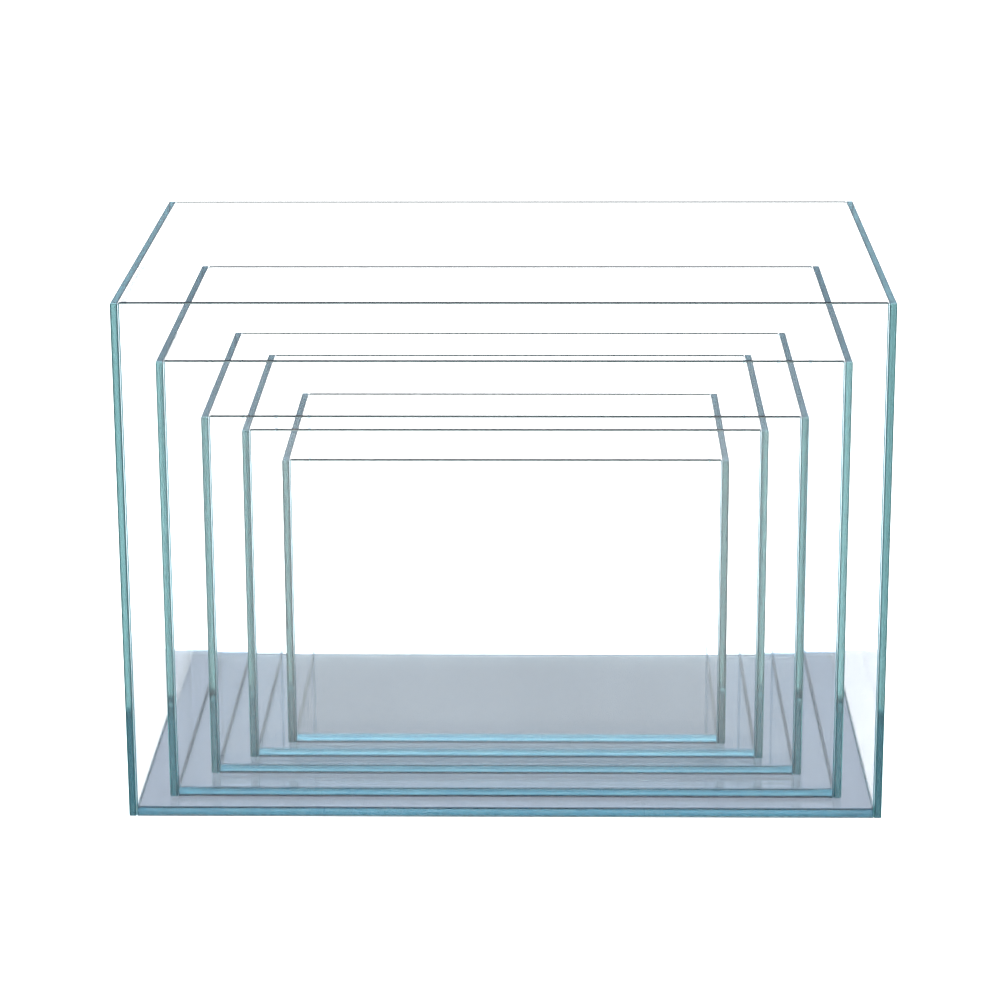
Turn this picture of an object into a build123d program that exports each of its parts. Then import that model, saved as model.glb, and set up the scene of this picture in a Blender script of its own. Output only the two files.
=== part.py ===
from build123d import *
import os

# A nesting set of rimless glass aquarium tanks. Each tank stands on the base pane of the next larger one.
# Millimetres, +Z up, +X along the width, the front panes face -Y.
# The origin is on the underside of the largest tank, at the middle of its width and depth.

# The tanks, largest first: outside width, depth and height.
WIDTHS = (500.0, 450.0, 400.0, 350.0, 300.0)
DEPTHS = (330.0, 285.0, 235.0, 205.0, 175.0)
HEIGHTS = (350.0, 301.0, 251.0, 232.0, 202.0)

# How far the middle of each tank stands behind the middle of the largest one.
SET_BACK = (0.0, 2.0, 8.0, 12.0, 13.0)

GLASS = 5.0  # every pane is cut from glass of this thickness
ARRIS = 0.5  # leg of the ground and polished bevel along every edge of a pane
AIR = 0.2  # air film between a tank and the base pane that it stands on
FILM = 0.3  # silicone between the panes of a joint
BEAD = 1.1  # leg of the silicone bead in each inside corner
HOLLOW = 0.15  # how far the face of a bead is tooled in from a straight slope

PARTS = "parts"


def between(low, high):
    """A box from its lowest corner to its highest corner."""
    size = [b - a for a, b in zip(low, high)]
    middle = [(a + b) / 2 for a, b in zip(low, high)]
    return Pos(*middle) * Box(*size)


def pane(low, high):
    """One pane of glass with all its edges bevelled and polished."""
    block = between(low, high)
    return chamfer(block.edges(), ARRIS)


def glass_of(width, depth, height):
    """The five panes of one tank, standing on Z = 0 about the origin.

    The side panes run the full depth. The front and back panes stand between them,
    and the base pane lies inside all four, flush with their lower edges.
    """
    x = width / 2
    y = depth / 2
    x_in = x - GLASS
    y_in = y - GLASS
    x_end = x_in - FILM
    y_end = y_in - FILM
    return {
        "front_pane": pane((-x_end, -y, 0), (x_end, -y_in, height)),
        "back_pane": pane((-x_end, y_in, 0), (x_end, y, height)),
        "left_pane": pane((-x, -y, 0), (-x_in, y, height)),
        "right_pane": pane((x_in, -y, 0), (x, y, height)),
        "base_pane": pane((-x_end, -y_end, 0), (x_end, y_end, GLASS)),
    }


def bead_section():
    """The section of a bead, drawn in the corner of two panes that meet at the origin."""
    dip = BEAD / 2 - HOLLOW / 2**0.5
    edge = Polyline((0, BEAD), (0, 0), (BEAD, 0))
    face = ThreePointArc((BEAD, 0), (dip, dip), (0, BEAD))
    return make_face([*edge.edges(), face])


def base_seam_of(width, depth, panes):
    """The silicone round the base pane: a film at its edges and a bead on top of it."""
    x_in = width / 2 - GLASS
    y_in = depth / 2 - GLASS
    band = FILM + ARRIS
    film = between((-x_in, -y_in, ARRIS), (x_in, y_in, GLASS))
    film -= between((band - x_in, band - y_in, 0), (x_in - band, y_in - band, GLASS + BEAD))
    long_runs = extrude(Plane.YZ * bead_section(), x_in, both=True)
    short_runs = extrude(Plane.XZ * bead_section(), y_in, both=True)
    bead = Pos(0, -y_in, GLASS) * long_runs
    bead += Pos(0, y_in, GLASS) * Rot(0, 0, 180) * long_runs
    bead += Pos(-x_in, 0, GLASS) * short_runs
    bead += Pos(x_in, 0, GLASS) * Rot(0, 0, 180) * short_runs
    return film + bead - panes["base_pane"]


def corner_seam_of(width, depth, height, side, end, panes, base_seam):
    """The silicone in one upright corner.

    side is -1 for the left pane and 1 for the right one, and end is -1 for the front pane
    and 1 for the back one. The seam is drawn at the front left corner and mirrored from there.
    """
    x = width / 2 - GLASS
    y = depth / 2
    y_in = y - GLASS
    film = between((-x, ARRIS - y, ARRIS), (FILM - x, -y_in, height - ARRIS))
    fillet_root = between((FILM - x, -y_in - ARRIS, ARRIS), (FILM + ARRIS - x, -y_in, height - ARRIS))
    bead = Pos(-x, -y_in, GLASS) * extrude(bead_section(), height - ARRIS - GLASS)
    seam = film + fillet_root + bead
    if side > 0:
        seam = mirror(seam, Plane.YZ)
    if end > 0:
        seam = mirror(seam, Plane.XZ)
    end_pane = panes["front_pane"] if end < 0 else panes["back_pane"]
    return seam - end_pane - base_seam


def tank(width, depth, height):
    """Every piece of one tank by its short name, standing on Z = 0 about the origin."""
    pieces = glass_of(width, depth, height)
    base_seam = base_seam_of(width, depth, pieces)
    seams = {"base_seam": base_seam}
    for end_name, end in (("front", -1), ("back", 1)):
        for side_name, side in (("left", -1), ("right", 1)):
            name = f"{end_name}_{side_name}_seam"
            seams[name] = corner_seam_of(width, depth, height, side, end, pieces, base_seam)
    pieces.update(seams)
    return pieces


os.makedirs(PARTS, exist_ok=True)
for number, (width, depth, height, set_back) in enumerate(zip(WIDTHS, DEPTHS, HEIGHTS, SET_BACK)):
    place = Pos(0, set_back, number * (GLASS + AIR))
    for short_name, piece in tank(width, depth, height).items():
        solid = (place * piece).solid()
        node = f"tank_{number + 1}_{short_name}"
        solid.label = node
        export_step(solid, f"{PARTS}/{node}.step")
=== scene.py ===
from math import atan2, cos, radians, sin, sqrt, tau

import bmesh
import bpy
from mathutils import Matrix, Vector, noise


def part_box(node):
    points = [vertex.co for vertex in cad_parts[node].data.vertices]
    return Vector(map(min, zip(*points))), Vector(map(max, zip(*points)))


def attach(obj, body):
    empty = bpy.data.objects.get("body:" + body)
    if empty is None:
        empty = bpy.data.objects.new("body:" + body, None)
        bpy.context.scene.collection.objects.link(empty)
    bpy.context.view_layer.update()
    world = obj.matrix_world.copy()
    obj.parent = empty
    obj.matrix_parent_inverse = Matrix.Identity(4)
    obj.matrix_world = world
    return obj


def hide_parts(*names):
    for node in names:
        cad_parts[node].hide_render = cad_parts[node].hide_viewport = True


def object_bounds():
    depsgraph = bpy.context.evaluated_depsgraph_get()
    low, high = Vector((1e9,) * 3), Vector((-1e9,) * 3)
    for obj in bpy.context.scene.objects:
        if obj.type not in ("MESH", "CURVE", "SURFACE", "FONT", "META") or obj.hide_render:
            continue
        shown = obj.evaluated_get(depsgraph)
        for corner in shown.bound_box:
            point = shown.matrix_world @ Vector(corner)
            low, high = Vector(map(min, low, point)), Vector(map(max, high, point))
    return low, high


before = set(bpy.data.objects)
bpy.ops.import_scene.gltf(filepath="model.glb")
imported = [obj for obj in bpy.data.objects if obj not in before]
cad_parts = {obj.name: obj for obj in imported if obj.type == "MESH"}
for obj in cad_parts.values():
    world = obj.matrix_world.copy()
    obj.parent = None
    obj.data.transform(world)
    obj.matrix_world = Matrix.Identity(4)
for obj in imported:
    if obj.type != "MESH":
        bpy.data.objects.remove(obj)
cad_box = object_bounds()

MM = 0.001

# Sizes shared with the CAD model, in metres.
GLASS = 5.0 * MM  # thickness of every pane
ARRIS = 0.5 * MM  # leg of the ground bevel along every edge
FILM = 0.3 * MM  # silicone between the panes of a joint
BEAD = 1.1 * MM  # leg of the bead in each inside corner
HOLLOW = 0.15 * MM  # how far the bead's face is tooled in

# Looks that the CAD model leaves out.
BORDER = 1.0 * MM  # width of the darker border of an upright edge or a rim, bevel included, which is painted shade
SKIN = 0.03 * MM  # gap that keeps silicone and glass from sharing a face
STATION = 12 * MM  # spacing of the sections along a bead
WAVER = 0.02  # how much a bead's leg swells and shrinks along its run, as a share
FILM_POINTS = 4  # corners of a seam's section that belong to its film
ARC_STEPS = 6  # facets across a bead's face

TANKS = 5
CORNERS = (("front", "left"), ("front", "right"), ("back", "left"), ("back", "right"))


# ---------------------------------------------------------------- camera, floor and light

def add_object(name, data):
    """A new object in the scene."""
    made = bpy.data.objects.new(name, data)
    bpy.context.scene.collection.objects.link(made)
    return made


def add_camera():
    """A long lens, a little to the right and well above the tanks, looking slightly down."""
    place = (0.0362, -2.1789, 0.8177)
    heading = 1.092
    dip = 16.528
    lean = -0.235
    data = bpy.data.cameras.new("camera")
    data.sensor_width = 36
    data.lens = 117.2
    data.dof.use_dof = False
    camera = add_object("camera", data)
    turn_left = Matrix.Rotation(radians(heading), 4, "Z")
    look_down = Matrix.Rotation(radians(90 - dip), 4, "X")
    roll = Matrix.Rotation(radians(lean), 4, "Z")
    camera.matrix_world = Matrix.Translation(place) @ turn_left @ look_down @ roll
    bpy.context.scene.camera = camera


def add_floor(cad_box):
    """A wide pale floor, a hair below the tank that stands on it."""
    reach = 30.0
    below = 0.3 * MM
    z = cad_box[0][2] - below
    mesh = bpy.data.meshes.new("floor")
    corners = [(-reach, -reach, z), (reach, -reach, z), (reach, reach, z), (-reach, reach, z)]
    mesh.from_pydata(corners, [], [(0, 1, 2, 3)])
    mesh.materials.append(floor_paper())
    add_object("floor", mesh)


def add_softbox():
    """One very large soft light overhead."""
    data = bpy.data.lights.new("softbox", "AREA")
    data.shape = "RECTANGLE"
    data.size = 9
    data.size_y = 9
    data.energy = 480
    data.color = (1.0, 0.985, 0.96)
    add_object("softbox", data).location = (0, 0, 6)


def add_world():
    """A studio that is white at the horizon, dim blue grey above it and pale overhead."""
    world = bpy.data.worlds.new("studio")
    world.use_nodes = True
    tree = world.node_tree
    tree.nodes.clear()
    direction = tree.nodes.new("ShaderNodeTexCoord")
    split = tree.nodes.new("ShaderNodeSeparateXYZ")
    colour = tree.nodes.new("ShaderNodeValToRGB")
    background = tree.nodes.new("ShaderNodeBackground")
    output = tree.nodes.new("ShaderNodeOutputWorld")
    horizon = (1.0, 1.0, 1.0)
    low_sky = (0.41, 0.49, 0.60)
    high_sky = (0.43, 0.50, 0.60)
    overhead = (1.0, 1.0, 1.0)
    set_ramp(colour, ((0.06, horizon), (0.16, low_sky), (0.62, high_sky), (0.85, overhead)))
    tree.links.new(direction.outputs["Generated"], split.inputs[0])
    tree.links.new(split.outputs["Z"], colour.inputs["Fac"])
    tree.links.new(colour.outputs["Color"], background.inputs["Color"])
    tree.links.new(background.outputs[0], output.inputs["Surface"])
    bpy.context.scene.world = world


# ---------------------------------------------------------------- materials

def set_ramp(node, stops):
    """Gives a colour ramp these stops of (position, colour)."""
    ramp = node.color_ramp
    while len(ramp.elements) < len(stops):
        ramp.elements.new(1.0)
    for element, (position, colour) in zip(ramp.elements, stops):
        element.position = position
        element.color = (*colour, 1.0)


class Graph:
    """A material's node tree with short calls for the nodes used here."""

    def __init__(self, name):
        self.material = bpy.data.materials.new(name)
        self.material.use_nodes = True
        self.tree = self.material.node_tree
        self.surface = self.tree.nodes["Principled BSDF"]
        self.output = self.tree.nodes["Material Output"]

    def add(self, kind, **settings):
        """A new node with these settings."""
        node = self.tree.nodes.new(kind)
        for key, value in settings.items():
            setattr(node, key, value)
        return node

    def feed(self, socket, value):
        """Links another node's output to a socket, or sets the socket's own value."""
        if isinstance(value, bpy.types.NodeSocket):
            self.tree.links.new(value, socket)
        else:
            socket.default_value = value

    def attribute(self, name):
        """A value that the mesh carries on its faces."""
        return self.add("ShaderNodeAttribute", attribute_name=name).outputs["Fac"]

    def place(self):
        """A point of the piece, in metres."""
        return self.add("ShaderNodeTexCoord").outputs["Object"]

    def grain(self):
        """A point of a face, with X along its longer side, in metres."""
        return self.add("ShaderNodeAttribute", attribute_name="grain").outputs["Vector"]

    def noise(self, point, stretch, detail=2.0, rough=0.5):
        """Noise with one cycle per 1/stretch metres along each axis."""
        mapping = self.add("ShaderNodeMapping", vector_type="POINT")
        self.feed(mapping.inputs["Vector"], point)
        mapping.inputs["Scale"].default_value = stretch
        texture = self.add("ShaderNodeTexNoise")
        self.feed(texture.inputs["Vector"], mapping.outputs[0])
        texture.inputs["Scale"].default_value = 1.0
        texture.inputs["Detail"].default_value = detail
        texture.inputs["Roughness"].default_value = rough
        return texture.outputs["Fac"]

    def span(self, value, low, high, to_low, to_high):
        """Maps low..high to to_low..to_high, clamped."""
        node = self.add("ShaderNodeMapRange")
        for socket, number in zip(node.inputs[1:5], (low, high, to_low, to_high)):
            socket.default_value = number
        self.feed(node.inputs["Value"], value)
        return node.outputs[0]

    def maths(self, operation, a, b):
        """Works out one number from two."""
        node = self.add("ShaderNodeMath", operation=operation)
        self.feed(node.inputs[0], a)
        self.feed(node.inputs[1], b)
        return node.outputs[0]

    def blend(self, factor, a, b):
        """Mixes two numbers."""
        node = self.add("ShaderNodeMix", data_type="FLOAT")
        self.feed(node.inputs[0], factor)
        self.feed(node.inputs[2], a)
        self.feed(node.inputs[3], b)
        return node.outputs[0]

    def tint(self, factor, a, b):
        """Mixes two colours."""
        node = self.add("ShaderNodeMix", data_type="RGBA")
        self.feed(node.inputs[0], factor)
        for socket, colour in ((node.inputs[6], a), (node.inputs[7], b)):
            self.feed(socket, colour if isinstance(colour, bpy.types.NodeSocket) else (*colour, 1.0))
        return node.outputs[2]

    def multiply(self, a, b):
        """Multiplies two colours, or a colour by a number."""
        node = self.add("ShaderNodeVectorMath", operation="MULTIPLY")
        self.feed(node.inputs[0], a)
        self.feed(node.inputs[1], b)
        return node.outputs[0]

    def bump(self, height, strength, distance):
        """A surface direction bent by a height map, where a height of 1 is distance metres."""
        node = self.add("ShaderNodeBump")
        node.inputs["Strength"].default_value = strength
        node.inputs["Distance"].default_value = distance
        self.feed(node.inputs["Height"], height)
        return node.outputs[0]


def floor_paper():
    """A light table's matt white top, with a hardly visible mottle and some light of its own."""
    g = Graph("floor_paper")
    g.surface.inputs["Emission Color"].default_value = (1.0, 0.985, 0.96, 1)
    g.surface.inputs["Emission Strength"].default_value = 1.1
    mottle = g.noise(g.place(), (7, 7, 7), detail=4)
    g.feed(g.surface.inputs["Base Color"], g.tint(mottle, (0.95, 0.95, 0.95), (0.97, 0.97, 0.97)))
    g.surface.inputs["Roughness"].default_value = 0.9
    return g.material


def float_glass(name, mirror):
    """Float glass whose mesh says how each face is finished.

    The faces carry a colour, tint, and two values: ground, from 0 for polished to 1 for
    ground, and blocked, the share that lets no light through. The tint is partly the glass's
    own colour and partly painted shade, and a dark tint with a blocked share paints a dark
    line of shade. mirror says how much the glass reflects head-on, as a share of plain glass.
    """
    g = Graph(name)
    ground = g.attribute("ground")
    streaks = g.noise(g.grain(), (30, 2600, 1), detail=2)
    patches = g.noise(g.grain(), (9, 90, 1), detail=2)
    pits = g.noise(g.place(), (2600, 2600, 2600), detail=2)
    smears = g.noise(g.place(), (9, 9, 14), detail=5, rough=0.6)

    # The tint is partly the glass's own colour and partly painted shade on edges and on base panes'
    # broad sides.
    finish_and_painted_shade = g.add("ShaderNodeAttribute", attribute_name="tint").outputs["Color"]
    worked = g.maths("ADD", g.span(patches, 0.35, 0.65, 0.94, 1.0), g.span(pits, 0.4, 0.6, -0.03, 0.0))
    wiped = g.span(smears, 0.5, 0.75, 1.0, 0.985)
    is_edge = g.span(ground, 0.0, 0.1, 0, 1)
    shade = g.blend(is_edge, wiped, worked)
    g.feed(g.surface.inputs["Base Color"], g.multiply(finish_and_painted_shade, shade))

    edge_roughness = g.span(streaks, 0.3, 0.7, 0.07, 0.11)
    ground_roughness = g.span(pits, 0.3, 0.7, 0.30, 0.42)
    polished = g.blend(is_edge, 0.0, edge_roughness)
    g.feed(g.surface.inputs["Roughness"], g.blend(ground, polished, ground_roughness))
    # A blocked share under a dark tint paints a dark line of shade, such as a front pane's foot.
    g.feed(g.surface.inputs["Metallic"], g.attribute("blocked"))

    marks = g.maths("MULTIPLY", g.blend(ground, streaks, pits), ground)
    g.feed(g.surface.inputs["Normal"], g.bump(marks, 0.04, 0.01 * MM))

    g.surface.inputs["IOR"].default_value = 1.52
    g.surface.inputs["Specular Tint"].default_value = (mirror, mirror, mirror, 1)
    g.surface.inputs["Transmission Weight"].default_value = 1.0
    absorption = g.add("ShaderNodeVolumeAbsorption")
    absorption.inputs["Color"].default_value = (0.30, 0.65, 0.70, 1)
    absorption.inputs["Density"].default_value = 2.0
    g.feed(g.output.inputs["Volume"], absorption.outputs[0])
    return g.material


def clear_silicone():
    """Clear silicone, a little milky, with small bubbles and a tooled face.

    Faces that carry the value grey get greyer silicone.
    """
    g = Graph("clear_silicone")
    cloud = g.noise(g.place(), (60, 60, 60), detail=4)
    bubbles = g.add("ShaderNodeTexVoronoi", feature="F1")
    bubbles.inputs["Scale"].default_value = 420
    g.feed(bubbles.inputs["Vector"], g.place())
    rim = g.span(bubbles.outputs["Distance"], 0.10, 0.16, 1, 0)
    colour = g.tint(g.span(cloud, 0.35, 0.65, 0, 1), (0.72, 0.85, 0.94), (0.82, 0.92, 0.98))
    colour = g.tint(rim, colour, (0.72, 0.81, 0.87))
    shade = g.tint(g.attribute("grey"), (1.0, 1.0, 1.0), (0.20, 0.27, 0.33))
    g.feed(g.surface.inputs["Base Color"], g.multiply(colour, shade))
    g.feed(g.surface.inputs["Roughness"], g.span(cloud, 0.3, 0.7, 0.12, 0.2))
    drag = g.noise(g.place(), (90, 90, 90), detail=2)
    g.feed(g.surface.inputs["Normal"], g.bump(g.maths("SUBTRACT", drag, rim), 0.12, 0.05 * MM))
    g.surface.inputs["IOR"].default_value = 1.15
    g.surface.inputs["Transmission Weight"].default_value = 1.0
    return g.material


# ---------------------------------------------------------------- glass panes

# How each kind of face is finished and shaded: its tint, how ground it is, and the share that
# blocks light.
# A sheet is a pane's broad side. A wall's edges are its uprights, its rim and its foot, a base
# pane's edges are bonded, and an arris is the bevel next to an edge. Some kinds are set apart for
# the largest tank, the smallest one, or a front or back pane.
# The tints are partly the glass's own teal and partly painted shade. The dark borders, arrises,
# rims, feet and bonded sides, some with a blocked share, paint the shade and dark reflections seen
# in the edges and a contact shadow along the foot of a wall. The tints on the broad sides of base
# panes paint the shade of the floor seen through them.
FINISHES_AND_PAINTED_SHADE = {
    "sheet": ((1.0, 1.0, 1.0), 0.0, 0.0),
    # The tints of the base panes' broad sides are painted shade of the floor seen through them. The
    # floor looks blue grey under the largest tank and greyer under the smallest.
    "base sheet": ((0.96, 0.97, 0.975), 0.0, 0.0),
    "smallest base sheet": ((0.88, 0.86, 0.84), 0.0, 0.0),
    "largest base sheet": ((0.268, 0.305, 0.358), 0.0, 0.0),
    # The uprights' teal is partly the glass's own colour and partly painted shade. Their dark borders
    # and arrises are painted shade.
    "upright": ((0.185, 0.30, 0.30), 0.1, 0.0),
    "upright border": ((0.02, 0.055, 0.06), 0.1, 0.0),
    "upright arris": ((0.03, 0.09, 0.095), 1.0, 0.5),
    "back upright": ((0.80, 0.90, 0.92), 0.1, 0.0),
    "back upright arris": ((0.80, 0.88, 0.90), 0.4, 0.0),
    # The dark borders and arrises of the rims, and the dark front and back rims, are painted shade.
    "rim": ((0.92, 1.0, 1.0), 0.12, 0.0),
    "rim border": ((0.22, 0.33, 0.41), 0.12, 0.0),
    "rim arris": ((0.40, 0.52, 0.60), 0.6, 0.0),
    "front rim": ((0.10, 0.14, 0.15), 0.3, 0.5),
    "front rim arris": ((0.05, 0.08, 0.08), 1.0, 0.6),
    "back rim": ((0.30, 0.31, 0.31), 0.3, 0.3),
    "back rim arris": ((0.20, 0.21, 0.21), 1.0, 0.4),
    # The bonded edges' teal is partly the glass's own colour and partly painted shade. The largest base
    # pane's near-black sides are painted shade.
    "bonded": ((0.41, 0.68, 0.70), 0.1, 0.0),
    "bonded arris": ((0.38, 0.62, 0.70), 0.6, 0.0),
    "low bonded arris": ((0.95, 1.0, 1.0), 0.4, 0.0),
    "largest bonded": ((0.165, 0.37, 0.42), 0.1, 0.0),
    "largest bonded arris": ((0.15, 0.36, 0.43), 0.6, 0.0),
    "largest bonded side": ((0.04, 0.07, 0.09), 0.3, 0.0),
    "largest bonded side arris": ((0.04, 0.07, 0.09), 0.6, 0.0),
    # The dark feet are a painted contact shadow where each wall stands. They are darkest along the front
    # panes of the inner tanks.
    "largest foot": ((0.21, 0.41, 0.50), 0.3, 0.0),
    "front foot": ((0.08, 0.17, 0.30), 0.3, 0.0),
    "front foot arris": ((0.03, 0.07, 0.15), 0.6, 0.95),
    "foot": ((0.50, 0.74, 0.84), 0.3, 0.0),
}

# How much light the upright edges of each tank's walls pass, and the edges of its base pane,
# largest tank first. A factor below 1 is painted shade and a factor above 1 is painted light.
UPRIGHT_PAINTED_SHADES = (1.05, 1.1, 0.90, 0.78, 0.57)
BONDED_PAINTED_SHADES = (1.0, 1.0, 1.0, 1.1, 1.35)

# The front upright edges are painted lighter and bluer at their foot, painted light for the bluer
# light seen through them there. The change lies between two shares of the height.
FOOT_PAINTED_LIGHT = (1.95, 2.9, 3.0)
FOOT_SHARES = (0.18, 0.23)


def kind_of(normal, thickness_axis, at_border, tank, part):
    """Which of the finishes and painted shades a face has, from the way it looks and the pane that it's
    on.
    """
    flat = 0.99
    mostly = 0.5
    is_arris = max(abs(c) for c in normal) < flat
    worked = " arris" if is_arris else ""
    largest = "largest " if tank == "tank_1" else ""
    smallest = "smallest " if tank == f"tank_{TANKS}" else ""
    if abs(normal[thickness_axis]) > flat:
        return f"{largest}{smallest}base sheet" if part == "base" else "sheet"
    if part == "base" and is_arris and normal.z < -mostly and abs(normal.y) > mostly:
        return "low bonded arris"
    if part == "base" and largest and abs(normal.x) > mostly:
        return f"largest bonded side{worked}"
    if part == "base":
        return f"{largest}bonded{worked}"
    if normal.z < -mostly:
        return f"front foot{worked}" if part == "front" and not largest else f"{largest}foot"
    if part in ("left", "right") and at_border and not is_arris:
        worked = " border"
    if normal.z > mostly:
        return f"{part} rim{worked}" if part in ("front", "back") else f"rim{worked}"
    return f"back upright{worked}" if part == "back" else f"upright{worked}"


def edge_tint(kind, colour, tank, at_foot):
    """The tint of one corner of a face, with its tank's painted shade or light, and painted light near
    the foot of a front upright edge.
    """
    shade = 1.0
    change = (1.0, 1.0, 1.0)
    if kind.startswith("upright"):
        shade = UPRIGHT_PAINTED_SHADES[int(tank[-1]) - 1]
        change = FOOT_PAINTED_LIGHT if at_foot else change
    if kind.startswith("bonded"):
        shade = BONDED_PAINTED_SHADES[int(tank[-1]) - 1]
    return tuple(c * shade * k for c, k in zip(colour, change))


def pane_mesh(tank, part):
    """A pane in the box of its CAD node, bevelled all round, whose faces say how they are finished and
    shaded.
    """
    low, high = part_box(f"{tank}_{part}_pane")
    size = high - low
    bm = bevelled_block(low, high)
    if part in ("left", "right"):
        for share in FOOT_SHARES:
            cut_across(bm, (0, 0, low.z + share * size.z), (0, 0, 1))
        for x in (low.x + BORDER, high.x - BORDER):
            cut_across(bm, (x, 0, 0), (1, 0, 0))
        put_in_order(bm)
    write_finish_and_painted_shade(bm, low, high, tank, part)
    mesh = bpy.data.meshes.new(f"{tank}_{part}_pane")
    bm.to_mesh(mesh)
    bm.free()
    return mesh


def bevelled_block(low, high):
    """A block from its lowest corner to its highest one, with all its edges bevelled."""
    bm = bmesh.new()
    bmesh.ops.create_cube(bm, size=1)
    bmesh.ops.scale(bm, vec=high - low, verts=bm.verts)
    bmesh.ops.translate(bm, vec=(low + high) / 2, verts=bm.verts)
    bmesh.ops.bevel(bm, geom=bm.edges[:], offset=ARRIS, offset_type="OFFSET", segments=1, affect="EDGES")
    return bm


def cut_across(bm, point, normal):
    """Adds a row of corners round a pane where this plane crosses it."""
    everything = bm.verts[:] + bm.edges[:] + bm.faces[:]
    bmesh.ops.bisect_plane(bm, geom=everything, plane_co=point, plane_no=normal)


def put_in_order(bm):
    """Sorts a mesh by place, because cuts can leave it in a different order each run."""
    sort_by(bm.verts, lambda vert: tuple(vert.co))
    sort_by(bm.edges, lambda edge: sorted(vert.index for vert in edge.verts))
    sort_by(bm.faces, lambda face: sorted(vert.index for vert in face.verts))


def sort_by(items, key):
    """Sorts a mesh's corners, edges or faces by any key, as their own sort takes only numbers."""
    rank = {item: place for place, item in enumerate(sorted(items, key=key))}
    items.sort(key=rank.get)
    items.index_update()


def write_finish_and_painted_shade(bm, low, high, tank, part):
    """Writes the finish and painted shade of every face of a pane on the mesh, for the glass material to
    read.
    """
    size = high - low
    middle = (low + high) / 2
    thickness_axis = min(range(3), key=lambda i: size[i])
    foot_top = low.z + sum(FOOT_SHARES) / 2 * size.z
    ground = bm.faces.layers.float.new("ground")
    blocked = bm.faces.layers.float.new("blocked")
    tint = bm.loops.layers.float_color.new("tint")
    grain = bm.loops.layers.float_vector.new("grain")
    for face in bm.faces:
        off_middle = (face.calc_center_median() - middle)[thickness_axis]
        at_border = abs(off_middle) > GLASS / 2 - BORDER
        kind = kind_of(face.normal, thickness_axis, at_border, tank, part)
        colour, face[ground], face[blocked] = FINISHES_AND_PAINTED_SHADE[kind]
        for loop in face.loops:
            corner = loop.vert.co
            at_foot = corner.z < foot_top and corner.y < middle.y
            loop[tint] = (*edge_tint(kind, colour, tank, at_foot), 1.0)
        lay_grain(face, grain)


def lay_grain(face, grain):
    """Writes each corner's place on the face, with X along the longer side."""
    long_edge = max(face.edges, key=lambda e: e.calc_length())
    along = (long_edge.verts[1].co - long_edge.verts[0].co).normalized()
    across = face.normal.cross(along)
    for loop in face.loops:
        point = loop.vert.co
        loop[grain] = Vector((point.dot(along), point.dot(across), 0))


def add_piece(node, body, suffix, mesh, material):
    """Puts a mesh in the place of a CAD node."""
    mesh.materials.append(material)
    piece = add_object(f"{node}_{suffix}", mesh)
    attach(piece, body)
    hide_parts(node)


# ---------------------------------------------------------------- silicone seams

def bead_circle(leg):
    """The centre (on the diagonal) and radius of the circle that a bead's face follows."""
    dip = leg / 2 - HOLLOW * leg / BEAD / sqrt(2)
    centre = (leg**2 - 2 * dip**2) / (2 * leg - 4 * dip)
    return centre, sqrt(2) * (centre - dip)


def bead_height(distance, leg):
    """How high a bead stands on its pane at a distance from the wall."""
    if distance >= leg:
        return 0.0
    centre, radius = bead_circle(leg)
    return centre - sqrt(radius**2 - (distance - centre) ** 2)


def seam_section(leg):
    """The section of a seam as (distance from the wall, height), counted from the foot of the film."""
    film = FILM - SKIN
    points = [(SKIN, ARRIS), (film, ARRIS), (film, GLASS - ARRIS), (film + ARRIS, GLASS + SKIN)]
    centre, radius = bead_circle(leg)
    start = atan2(-centre, leg - centre)
    end = atan2(leg - centre, -centre)
    sweep = (end - start) % tau - tau
    for step in range(ARC_STEPS + 1):
        angle = start + sweep * step / ARC_STEPS
        across = max(SKIN, centre + radius * cos(angle))
        up = max(SKIN, centre + radius * sin(angle))
        points.append((across, GLASS + up))
    return points


def leg_at(place, seed):
    """The leg of a bead at a place along it, a little thicker here and thinner there."""
    per_metre = 25
    between_seams = 7.3
    swell = noise.noise(Vector((place * per_metre, seed * between_seams, 0.5)))
    return BEAD * (1 + WAVER * swell)


def skinned(name, loops, closed):
    """A mesh through equal loops of points, closed into a ring or capped at both ends."""
    bm = bmesh.new()
    rows = [[bm.verts.new(p) for p in loop] for loop in loops]
    count = len(rows[0])
    pairs = list(zip(rows, rows[1:]))
    if closed:
        pairs.append((rows[-1], rows[0]))
    for a, b in pairs:
        for i in range(count):
            j = (i + 1) % count
            bm.faces.new((a[i], a[j], b[j], b[i]))
    if not closed:
        for cap in (rows[0], rows[-1]):
            bmesh.ops.triangulate(bm, faces=[bm.faces.new(cap)])
    bmesh.ops.recalc_face_normals(bm, faces=bm.faces)
    mesh = bpy.data.meshes.new(name)
    bm.to_mesh(mesh)
    bm.free()
    mesh.polygons.foreach_set("use_smooth", [closed] * len(mesh.polygons))
    return mesh


def steps_over(length):
    """How many stations a run of this length takes."""
    return max(2, round(length / STATION))


def base_seam_mesh(name, low, high, floor_z, seed):
    """The seam round a base pane, inside the rectangle that the four walls leave."""
    def corner(index, inset):
        """A corner of the rectangle, counted from the front left one by way of the front right one."""
        x = low.x + inset if index in (0, 3) else high.x - inset
        y = low.y + inset if index in (0, 1) else high.y - inset
        return Vector((x, y, 0))

    between_sides = 1.7
    loops = []
    for side in range(4):
        following = (side + 1) % 4
        length = (corner(following, 0) - corner(side, 0)).length
        steps = steps_over(length)
        for step in range(steps):
            share = step / steps
            leg = leg_at(side * between_sides + share * length, seed)
            loop = []
            for inset, height in seam_section(leg):
                point = corner(side, inset).lerp(corner(following, inset), share)
                loop.append(point + Vector((0, 0, floor_z + height)))
            loops.append(loop)
    return skinned(name, loops, closed=True)


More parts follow.
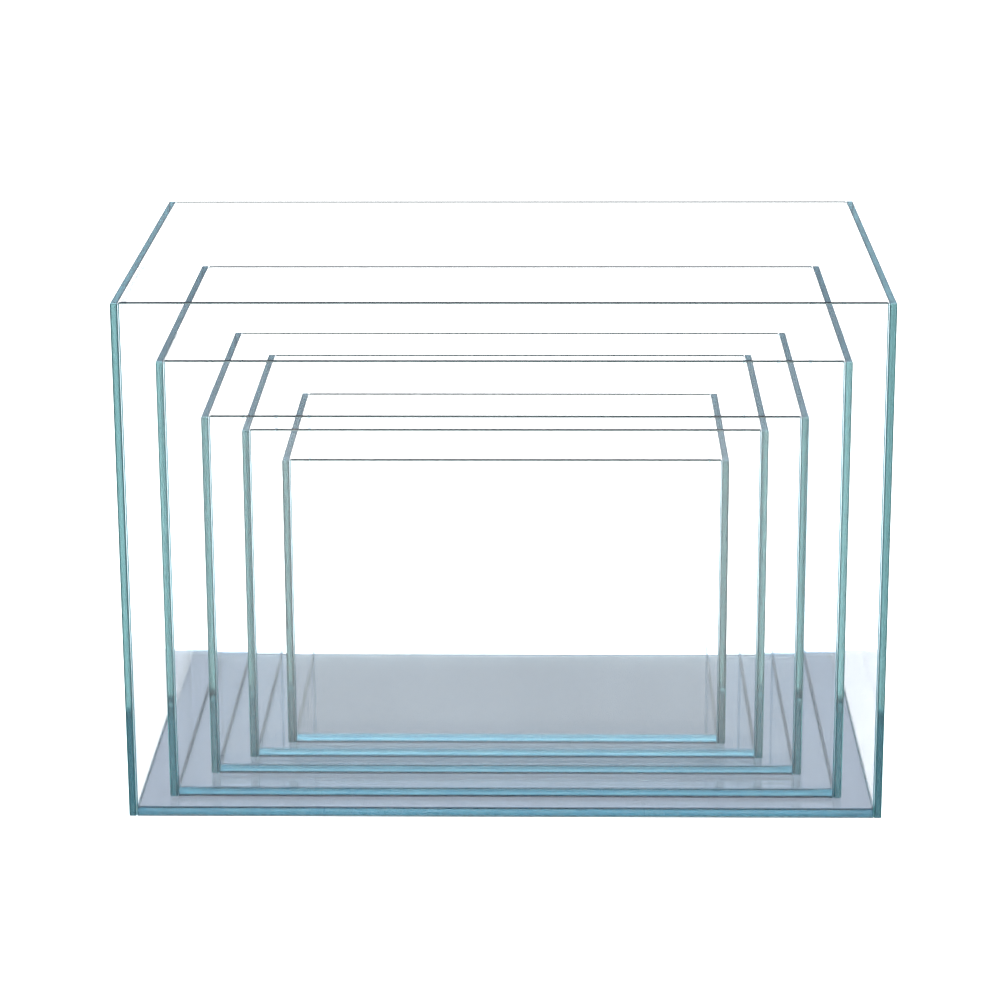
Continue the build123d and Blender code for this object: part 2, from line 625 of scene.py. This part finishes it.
def grey_the_bead(mesh):
    """Marks the bead of a base seam as grey and leaves the film below it clear."""
    ring = FILM_POINTS + ARC_STEPS + 1
    bead = range(FILM_POINTS - 2, ring - 1)
    grey = mesh.attributes.new("grey", "FLOAT", "FACE")
    grey.data.foreach_set("value", [float(i % ring in bead) for i in range(len(mesh.polygons))])


def corner_seam_mesh(name, wall_x, end_y, inward, low_z, high_z, seed):
    """The seam in one upright corner.

    wall_x is the side pane's inner face, end_y the front or back pane's outer face, and
    inward says which way the tank's middle lies from them, as (sign of X, sign of Y).
    """
    steps = steps_over(high_z - low_z)
    foot = low_z + ARRIS
    top = high_z - ARRIS
    loops = []
    for step in range(steps + 1):
        level = foot + (top - foot) * step / steps
        loop = []
        for across, along in seam_section(leg_at(level, seed)):
            x = wall_x + inward[0] * across
            y = end_y + inward[1] * along
            rest = foot
            if along > GLASS:
                bead_top = max(bead_height(across, BEAD), bead_height(along - GLASS, BEAD))
                rest = low_z + GLASS + SKIN + bead_top
            loop.append(Vector((x, y, max(level, rest))))
        loops.append(loop)
    return skinned(name, loops, closed=False)


# ---------------------------------------------------------------- tanks

def glaze(tank, wall_glass, base_glass):
    """The five panes of one tank."""
    for part in ("front", "back", "left", "right", "base"):
        material = base_glass if part == "base" else wall_glass
        add_piece(f"{tank}_{part}_pane", tank, "glass", pane_mesh(tank, part), material)


def seal(tank, number, silicone):
    """The five seams of one tank, placed by the inner faces of its panes."""
    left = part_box(f"{tank}_left_pane")
    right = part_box(f"{tank}_right_pane")
    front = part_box(f"{tank}_front_pane")
    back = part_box(f"{tank}_back_pane")
    floor_z, rim_z = left[0].z, left[1].z
    node = f"{tank}_base_seam"
    low = Vector((left[1].x, front[1].y, 0))
    high = Vector((right[0].x, back[0].y, 0))
    mesh = base_seam_mesh(node, low, high, floor_z, number)
    if number == 1:
        grey_the_bead(mesh)
    add_piece(node, tank, "silicone", mesh, silicone)
    seams = 1 + len(CORNERS)
    for index, (end, side) in enumerate(CORNERS):
        node = f"{tank}_{end}_{side}_seam"
        wall_x = left[1].x if side == "left" else right[0].x
        end_y = front[0].y if end == "front" else back[1].y
        inward = (1 if side == "left" else -1, 1 if end == "front" else -1)
        seed = number * seams + index
        mesh = corner_seam_mesh(node, wall_x, end_y, inward, floor_z, rim_z, seed)
        add_piece(node, tank, "silicone", mesh, silicone)


add_camera()
add_world()
add_softbox()
add_floor(cad_box)

WALL_GLASS = float_glass("wall_glass", mirror=0.2)
BASE_GLASS = float_glass("base_glass", mirror=1.0)
SILICONE = clear_silicone()

for number in range(1, TANKS + 1):
    tank = f"tank_{number}"
    glaze(tank, WALL_GLASS, BASE_GLASS)
    seal(tank, number, SILICONE)

scene = bpy.context.scene
scene.view_settings.view_transform = "Standard"
scene.cycles.max_bounces = 48
scene.cycles.transmission_bounces = 48
scene.cycles.glossy_bounces = 24
scene.cycles.blur_glossy = 0
